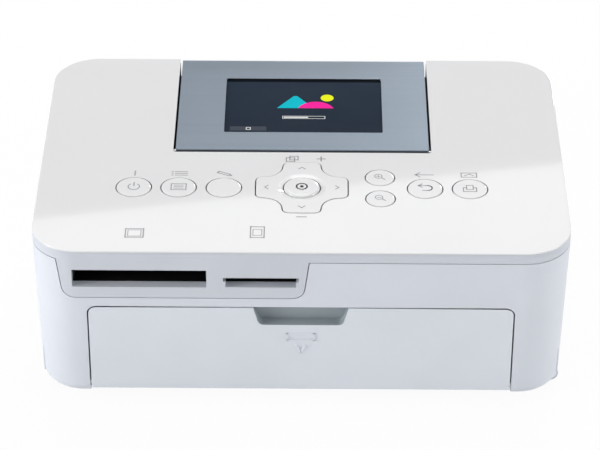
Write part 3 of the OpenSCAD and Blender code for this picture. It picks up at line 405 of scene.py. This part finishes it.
COVER_TOP = 60.5
KEY_TOP = 60.65
OK_TOP = 60.98
GLASS_TOP = 60.0
KEY_ROW = -24.9
PAD_Y = -24.6
POWER_X = -56.6
MENU_X = -41.5
EDIT_X = -26.25
BACK_X = 41.5
PRINT_X = 56.6
ZOOM_X = 26.4
FINE = 0.4
DOOR_MARK_Z = 24.0
SEAM_Z = 56.5
CASE_DRAFT = 1.4 / 53.5
DOOR_MARK_Y = -63.5 + CASE_DRAFT * (SEAM_Z - DOOR_MARK_Z)


def power_mark():
    center = (POWER_X, KEY_ROW + 0.1)
    loops = ring(center, 1.9, 0.4, 125, 415) + line([(POWER_X, KEY_ROW + 0.6), (POWER_X, KEY_ROW + 2.6)], 0.4)
    print_mark("power_symbol", loops, KEY_TOP, KEY_INK, "power_button")


def menu_mark():
    loops = frame_line(MENU_X - 2.5, KEY_ROW - 1.7, MENU_X + 2.5, KEY_ROW + 2.0, 0.34)
    for y in (-0.8, 0.15, 1.1):
        loops += line([(MENU_X - 1.5, KEY_ROW + y), (MENU_X + 1.5, KEY_ROW + y)], 0.3)
    print_mark("menu_symbol", loops, KEY_TOP, KEY_INK, "menu_button")


def back_mark():
    y = KEY_ROW + 0.2
    bend = arc_points((BACK_X + 0.9, y + 0.1), 1.5, 90, -90, 12)
    loops = line([(BACK_X - 2.1, y + 1.6)] + bend + [(BACK_X - 0.8, y - 1.4)], 0.4)
    loops += line([(BACK_X - 1.0, y + 2.6), (BACK_X - 2.2, y + 1.6), (BACK_X - 1.0, y + 0.6)], 0.4)
    print_mark("return_symbol", loops, KEY_TOP, KEY_INK, "back_button")


def print_symbol():
    x, y = PRINT_X, KEY_ROW - 0.1
    loops = line([(x - 1.1, y + 0.7), (x - 2.2, y + 0.7), (x - 2.2, y - 1.6), (x + 2.2, y - 1.6), (x + 2.2, y + 0.7),
                  (x + 1.1, y + 0.7)], 0.34)
    loops += frame_line(x - 1.1, y - 0.4, x + 1.1, y + 2.2, 0.3)
    print_mark("sheet_symbol", loops, KEY_TOP, KEY_INK, "print_button")


def zoom_marks():
    for name, y, body, plus in (("closer_symbol", -17.6, "zoom_in_button", True),
                                ("wider_symbol", -30.6, "zoom_out_button", False)):
        center = (ZOOM_X - 0.5, y + 0.1)
        loops = ring(center, 1.25, 0.3) + line([(ZOOM_X + 0.5, y - 0.8), (ZOOM_X + 1.6, y - 1.8)], 0.4)
        loops += line([(center[0] - 0.6, center[1]), (center[0] + 0.6, center[1])], 0.26)
        if plus:
            loops += line([(center[0], center[1] - 0.6), (center[0], center[1] + 0.6)], 0.26)
        print_mark(name, loops, KEY_TOP, KEY_INK, body)


def centre_key_mark():
    loops = ring((0, PAD_Y), 1.8, 0.5) + disc((0, PAD_Y), 0.65)
    print_mark("confirm_symbol", loops, OK_TOP, KEY_INK, "ok_button")


def pad_marks():
    loops = []
    for angle in (0, 90, 180, 270):
        chevron = line([(11.4, PAD_Y + 1.1), (12.5, PAD_Y), (11.4, PAD_Y - 1.1)], 0.34)
        loops += turned(chevron, (0, PAD_Y), angle)
    print_mark("pad_chevrons", loops, KEY_TOP, KEY_INK, "nav_button")


def cover_marks():
    """Small pictograms in the places over the keys and the card slots."""
    y = -16.2
    loops = line([(6.5, -7.8), (6.5, -5.2)], FINE + 0.1) + line([(5.2, -6.5), (7.8, -6.5)], FINE + 0.1)
    loops += line([(-1.5, -42.4), (1.5, -42.4)], FINE + 0.1)
    loops += frame_line(-5.4, -8.2, -2.6, -5.9, FINE) + frame_line(-4.2, -7.2, -1.4, -4.9, FINE)
    loops += line([(POWER_X, y - 1.3), (POWER_X, y + 1.3)], FINE + 0.1)
    for dy in (-1.1, 0, 1.1):
        loops += line([(MENU_X - 2.6, y + dy), (MENU_X - 2.2, y + dy)], FINE)
        loops += line([(MENU_X - 1.4, y + dy), (MENU_X + 2.6, y + dy)], FINE)
    pencil = line([(EDIT_X - 2.4, y - 0.5), (EDIT_X + 1.6, y - 0.5), (EDIT_X + 2.6, y), (EDIT_X + 1.6, y + 0.5),
                   (EDIT_X - 2.4, y + 0.5)], FINE, closed=True)
    loops += turned(pencil, (EDIT_X, y), -25)
    loops += line([(BACK_X + 3, y), (BACK_X - 3, y)], FINE) + line([(BACK_X - 1.6, y + 1.3), (BACK_X - 3, y),
                                                                  (BACK_X - 1.6, y - 1.3)], FINE)
    loops += frame_line(PRINT_X - 2.6, y - 1.3, PRINT_X + 2.6, y + 1.3, FINE)
    loops += line([(PRINT_X - 1.5, y - 0.4), (PRINT_X + 0.2, y + 0.6), (PRINT_X + 1.5, y - 0.4)], FINE)
    loops += frame_line(-57.8, -55.1, -51.9, -50.1, FINE) + frame_line(-57.0, -54.4, -52.7, -50.8, 0.26)
    loops += frame_line(-16.7, -54.8, -12.2, -48.5, FINE) + frame_line(-15.9, -53.6, -13.0, -50.0, 0.26)
    print_mark("cover_print", loops, COVER_TOP, INK, "printer_body")


def screen_light(name, loops, color, layer, strength=0.9):
    """One flat part of the lit picture, just over the window."""
    print_mark(name, loops, GLASS_TOP + 0.01 * layer, lit_pixels(name + "_light", color, strength),
               "display_panel", 0.01)


def screen_picture():
    """A generic start picture: hills under a low sun, a progress bar and a small grey tab."""
    ground, middle = 27.6, 0.4
    peak = [(middle - 9.5, ground), (middle - 3.6, ground + 8.2), (middle - 2.4, ground + 8.2),
            (middle + 3.5, ground)]
    dune = arc_points((middle + 4.2, ground - 2.2), 6.6, 19.5, 160.5, 24)
    screen_light("sun_part", disc((middle + 8.2, ground + 7.0), 2.3), (0.84, 0.88, 0.01), 0)
    screen_light("peak_part", [peak], (0.0, 0.50, 0.60), 0)
    screen_light("dune_part", [dune], (0.94, 0.015, 0.34), 1)
    bar = frame_line(middle - 7.4, 20.6, middle + 7.4, 22.2, 0.25) + filled(middle - 7.0, 21.0, middle + 1.5, 21.8)
    screen_light("progress_part", bar, grey(0.75), 0)
    screen_light("tab_part", filled(-25.3, 12.4, -12.6, 15.2), (0.055, 0.065, 0.085), 0)
    screen_light("tab_sign_part", frame_line(-19.6, 13.1, -18.2, 14.5, 0.3), grey(0.75), 1)


def door_mark():
    """Raised sheet outline and arrow under the finger notch, on the leaning door."""
    lean = CASE_DRAFT / math.hypot(1.0, CASE_DRAFT)
    upright = 1.0 / math.hypot(1.0, CASE_DRAFT)
    across, rise, out = Vector((1, 0, 0)), Vector((0, -lean, upright)), Vector((0, -upright, -lean))
    turn = Matrix((across, rise, out)).transposed().to_4x4()
    lie = Matrix.Translation(Vector((0, DOOR_MARK_Y, DOOR_MARK_Z)) * MM) @ turn
    loops = frame_line(-4.4, 0.9, 4.4, 3.5, 0.6) + line([(-1.5, -1.6), (0, -4.2), (1.5, -1.6)], 0.7)
    print_mark("door_arrow", loops, -0.1, DOOR, "front_door", 0.45, lie)


# ---------------------------------------------------------------- case edges

# The case's plan at its widest, in millimetres, and its edges as they show
PLAN_LOW, PLAN_HIGH = (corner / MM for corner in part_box("top_fascia"))
PLAN_CORNER = 16.0
CASE_BOTTOM = 3.0
BOTTOM_SKIN = 1.2
STAND_OFF = 0.8
FOOT_ROUND = 5.0
ROUND_DEPTH = 12.0
ROUND_FADE = 9.0
HINGE_X = 84.4
HINGE_Z = 4.0
HINGE_R = 3.05
HINGE_Y = (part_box("ribbon_door")[0].y / MM - 7.0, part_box("ribbon_door")[1].y / MM + 7.0)
RIM_Z = 59.3
RIM_REACH = 0.9
RIM_T = 0.5
RIM_SKIN = 0.3
RIM_BEVEL = 0.6
RIM_UNDERCUT = 0.5
GROOVE_BELOW = 0.4
GROOVE_ABOVE = 0.1
GROOVE_EDGE = 0.25
GROOVE_DROP = 0.55
GROOVE_RISE = 0.7
GROOVE_OUT = 0.15
SHARP_ANGLE = math.radians(28)
DOOR_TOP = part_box("paper_door")[1].z / MM
DOOR_FRONT = -63.2
DOOR_MIDDLE = -62.2
DOOR_EDGE = 1.0
DOOR_UNDERCUT = 1.6
RECESS_CLEAR = 2.0
RECESS_HALF = 15.65
RECESS_NARROW = 14.4
RECESS_Z = 31.0
RECESS_BACK = -58.7


def clamped(value):
    return min(max(value, 0.0), 1.0)


def plan_depth(x, y):
    """How far a point lies inside the case's plan, and the direction inwards."""
    middle = (PLAN_LOW + PLAN_HIGH) / 2
    half = (PLAN_HIGH - PLAN_LOW) / 2
    qx = abs(x - middle.x) - half.x + PLAN_CORNER
    qy = abs(y - middle.y) - half.y + PLAN_CORNER
    inward = Vector((math.copysign(1.0, middle.x - x), math.copysign(1.0, middle.y - y)))
    if qx > 0 and qy > 0:
        reach = math.hypot(qx, qy)
        return PLAN_CORNER - reach, Vector((inward.x * qx, inward.y * qy)) / reach
    if qx > qy:
        return PLAN_CORNER - qx, Vector((inward.x, 0.0))
    return PLAN_CORNER - qy, Vector((0.0, inward.y))


def rounded_foot(x, y, z):
    """Carries the case's bottom down to its low feet and rounds its lower edge, round the side door's knuckles."""
    knuckle = math.hypot(x - HINGE_X, z - HINGE_Z) < HINGE_R and HINGE_Y[0] < y < HINGE_Y[1]
    if knuckle or z > STAND_OFF + FOOT_ROUND:
        return x, y, z
    lower = clamped((CASE_BOTTOM + BOTTOM_SKIN - z) / BOTTOM_SKIN)
    down = z - lower * (CASE_BOTTOM - STAND_OFF) if z > CASE_BOTTOM else z * STAND_OFF / CASE_BOTTOM
    depth, inward = plan_depth(x, y)
    depth -= CASE_DRAFT * (SEAM_Z - z)
    weight = clamped((ROUND_DEPTH - depth) / ROUND_FADE)
    drop = min(max(STAND_OFF + FOOT_ROUND - down, 0.0), FOOT_ROUND)
    shift = inward * weight * (FOOT_ROUND - math.sqrt(FOOT_ROUND ** 2 - drop ** 2))
    return x + shift.x, y + shift.y, down


def thin_rim(x, y, z):
    """Thins the glossy cover's rim, over a groove and a chamfer in which its shadow lies."""
    depth, inward = plan_depth(x, y)
    if depth > RIM_REACH or z < RIM_Z - GROOVE_BELOW:
        return x, y, z
    if z < RIM_Z - GROOVE_ABOVE:
        shift, rise = (0.0, -GROOVE_DROP) if depth < GROOVE_EDGE else (-GROOVE_OUT, GROOVE_RISE)
    else:
        underside = depth > RIM_SKIN and z < RIM_Z + GROOVE_ABOVE
        shift = RIM_UNDERCUT if underside else -RIM_BEVEL * depth
        rise = (COVER_TOP - z) * (1.0 - RIM_T / (COVER_TOP - RIM_Z))
    return x + inward.x * shift, y + inward.y * shift, z + rise


def undercut_top(x, y, z):
    """Slopes the paper door's top edge down to the inside, clear of its finger recess, so that its gap is dark."""
    rise = z - (DOOR_TOP - DOOR_EDGE)
    if abs(x) < RECESS_HALF + RECESS_CLEAR or y < DOOR_MIDDLE or rise < 0:
        return x, y, z
    return x, y, z - DOOR_UNDERCUT * rise


def in_recess(x, y, z):
    """Whether a point lies on the wall of the door's finger recess."""
    half = RECESS_NARROW + (RECESS_HALF - RECESS_NARROW) * min((z - RECESS_Z) / (DOOR_TOP - RECESS_Z), 1.0)
    return abs(x) < half + 0.3 and z > RECESS_Z - 0.1 and DOOR_FRONT + 0.3 < y < RECESS_BACK + 0.1


def reshaped(node, move, body, cuts=()):
    """A copy of a case part with its edges moved, cut at some heights so that they can bend."""
    mesh = bmesh.new()
    mesh.from_mesh(NODES[node].data)
    for height in cuts:
        bmesh.ops.bisect_plane(mesh, geom=mesh.verts[:] + mesh.edges[:] + mesh.faces[:], dist=1e-7,
                               plane_co=(0, 0, height * MM), plane_no=(0, 0, 1))
    for vert in mesh.verts:
        vert.co = Vector(move(*(vert.co / MM))) * MM
    for face in mesh.faces:
        face.smooth = True
    data = bpy.data.meshes.new(node + "_shaped")
    mesh.to_mesh(data)
    mesh.free()
    data.set_sharp_from_angle(angle=SHARP_ANGLE)
    data.materials.append(NODES[node].data.materials[0])
    made = bpy.data.objects.new(node + "_shaped", data)
    bpy.context.scene.collection.objects.link(made)
    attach(made, body)
    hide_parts(node)
    return made


def case_edges():
    cuts = (3.3, 3.6, 3.9, 4.2, 4.6, 5.0, 5.4, 5.8)
    reshaped("main_case", rounded_foot, "printer_body", cuts)
    reshaped("base_plate", rounded_foot, "printer_body", cuts)
    reshaped("rubber_feet", rounded_foot, "printer_body")
    reshaped("upper_case", thin_rim, "printer_body")
    reshaped("top_fascia", thin_rim, "printer_body")
    door = reshaped("paper_door", undercut_top, "front_door")
    # The finger recess's faces take the darker grey: painted shade.
    door.data.materials.append(RECESS_SHADE)
    for face in door.data.polygons:
        if in_recess(*(face.center / MM)):
            face.material_index = 1


# ---------------------------------------------------------------- studio

CAMERA_PLACE = Vector((3.341, -815.43, 573.656)) * MM
CAMERA_PITCH = 0.588951
CAMERA_YAW = 0.0049468
CAMERA_ROLL = 0.0035518
CAMERA_LENS = 167.93
AMBIENT_FRONT = 0.42
AMBIENT_REAR = 0.06
MIRRORED_HIGH = 0.05
FLOOR_WHITE = 0.94
FLOOR_REACH = 6.0
FLOOR_BELOW = 0.0002
CASE_MIDDLE = Vector((0.0, 0.0, 0.03))


def add_camera():
    data = bpy.data.cameras.new("camera")
    data.lens = CAMERA_LENS
    data.sensor_width = 36.0
    data.clip_start = 0.01
    data.clip_end = 50.0
    camera = bpy.data.objects.new("camera", data)
    bpy.context.scene.collection.objects.link(camera)
    right = Vector((math.cos(CAMERA_YAW), math.sin(CAMERA_YAW), 0.0))
    ahead = Vector((-math.sin(CAMERA_YAW) * math.cos(CAMERA_PITCH), math.cos(CAMERA_YAW) * math.cos(CAMERA_PITCH),
                    -math.sin(CAMERA_PITCH)))
    up = right.cross(ahead)
    c, s = math.cos(CAMERA_ROLL), math.sin(CAMERA_ROLL)
    x_axis, y_axis = c * right + s * up, c * up - s * right
    turn = Matrix((x_axis, y_axis, -ahead)).transposed().to_4x4()
    camera.matrix_world = Matrix.Translation(CAMERA_PLACE) @ turn
    bpy.context.scene.camera = camera


def area_lamp(name, size, power, matrix, mirrored=True):
    """A rectangular lamp; one that isn't mirrored leaves no glare on the glossy faces."""
    data = bpy.data.lights.new(name, "AREA")
    data.shape = "RECTANGLE"
    data.size, data.size_y = size
    data.energy = power
    lamp = bpy.data.objects.new(name, data)
    bpy.context.scene.collection.objects.link(lamp)
    lamp.matrix_world = matrix
    lamp.visible_camera = False
    lamp.visible_glossy = mirrored


def soft_box(name, place, size, power, mirrored=True):
    """A lamp aimed at the middle of the case."""
    aim = (CASE_MIDDLE - Vector(place)).to_track_quat("-Z", "Y").to_matrix().to_4x4()
    area_lamp(name, size, power, Matrix.Translation(Vector(place)) @ aim, mirrored)


def edge_box(name, edge_middle, slope, size, power):
    """A soft box above a tilted lower edge, facing the object: its edge shows in the glossy cover."""
    along = Vector((math.cos(slope), 0.0, math.sin(slope)))
    inward = -Vector(edge_middle).normalized()
    rise = along.cross(inward).normalized()
    if rise.z < 0:
        rise = -rise
    outward = along.cross(rise)
    if outward.dot(inward) > 0:
        along, outward = -along, -outward
    turn = Matrix((along, rise, outward)).transposed().to_4x4()
    area_lamp(name, size, power, Matrix.Translation(Vector(edge_middle) + rise * size[1] / 2) @ turn)


def add_floor():
    """A pale sweep: white to the camera, with a soft trace of the shadow."""
    paint = Paint("white_floor")
    cloud = paint.noise(paint.place(), 1.5, 2.0)
    card = paint.node("BsdfDiffuse", {}, {"Color": paint.mix(cloud, grey(0.86), grey(0.9))})
    white = paint.node("Emission", {}, {"Color": rgba(grey(1.0)), "Strength": 1.0})
    rays = paint.node("LightPath", output="Is Camera Ray")
    glossy = Wire(paint, rays.socket.node.outputs["Is Glossy Ray"])
    through = Wire(paint, rays.socket.node.outputs["Is Transmission Ray"])
    blend = paint.node("MixShader", {}, {0: rays * FLOOR_WHITE + glossy + through, 1: card, 2: white})
    paint.node("OutputMaterial", {}, {"Surface": blend})
    mesh = bmesh.new()
    bmesh.ops.create_grid(mesh, x_segments=8, y_segments=8, size=FLOOR_REACH)
    data = bpy.data.meshes.new("floor")
    mesh.to_mesh(data)
    mesh.free()
    data.materials.append(paint.material)
    floor = bpy.data.objects.new("floor", data)
    bpy.context.scene.collection.objects.link(floor)
    floor.location.z = -FLOOR_BELOW


def add_world():
    """Soft sky for the surfaces, dimmer behind. It shows white to the camera, and darker high in reflections."""
    world = bpy.data.worlds.new("studio")
    bpy.context.scene.world = world
    world.use_nodes = True
    tree = world.node_tree
    tree.nodes.clear()

    def made(kind, output, *inputs, **settings):
        node = tree.nodes.new("ShaderNode" + kind)
        for key, value in settings.items():
            setattr(node, key, value)
        for place, value in enumerate(inputs):
            if isinstance(value, bpy.types.NodeSocket):
                tree.links.new(value, node.inputs[place])
            elif value is not None:
                node.inputs[place].default_value = value
        return node.outputs[output]

    camera = made("LightPath", "Is Camera Ray")
    seen = made("Math", 0, camera, camera.node.outputs["Is Glossy Ray"], operation="MAXIMUM")
    seen = made("Math", 0, seen, camera.node.outputs["Is Transmission Ray"], operation="MAXIMUM")
    behind = made("SeparateXYZ", "Y", made("TexCoord", "Generated"))
    sky = made("MapRange", 0, behind, -0.8, 0.4, AMBIENT_FRONT, AMBIENT_REAR)
    mirrored = made("MapRange", 0, behind.node.outputs["Z"], 0.1, 0.4, 1.0, MIRRORED_HIGH)
    mirrored = made("Math", 0, mirrored, camera, operation="MAXIMUM")
    soft = made("Background", 0, (0.98, 0.99, 1.0, 1.0), sky)
    white = made("Background", 0, (1.0, 1.0, 1.0, 1.0), mirrored)
    out = tree.nodes.new("ShaderNodeOutputWorld")
    tree.links.new(made("MixShader", 0, seen, soft, white), out.inputs["Surface"])


def add_studio():
    add_camera()
    add_world()
    add_floor()
    soft_box("left_box", (-1.57, -0.52, 0.5), (0.6, 0.5), 13.5)
    soft_box("right_box", (1.6, -0.45, 0.5), (0.6, 0.5), 9.6)
    soft_box("left_corner_box", (-1.25, -0.9, 0.45), (0.5, 0.4), 3.0)
    soft_box("overhead_box", (0.1, 0.35, 1.6), (1.6, 1.6), 12.6)
    soft_box("rear_right_box", (0.42, 1.5, 0.7), (0.3, 0.3), 5.0)
    soft_box("rear_low_box", (0.0, 1.6, 0.3), (1.2, 0.2), 9.0, mirrored=False)
    edge_box("rear_box", (-0.013, 1.5, 1.054), math.radians(-7.6), (3.0, 0.8), 9.0)
    bpy.context.scene.view_settings.view_transform = "Standard"


apply_finishes()
case_edges()
power_mark()
menu_mark()
back_mark()
print_symbol()
zoom_marks()
centre_key_mark()
pad_marks()
cover_marks()
screen_picture()
door_mark()
add_studio()
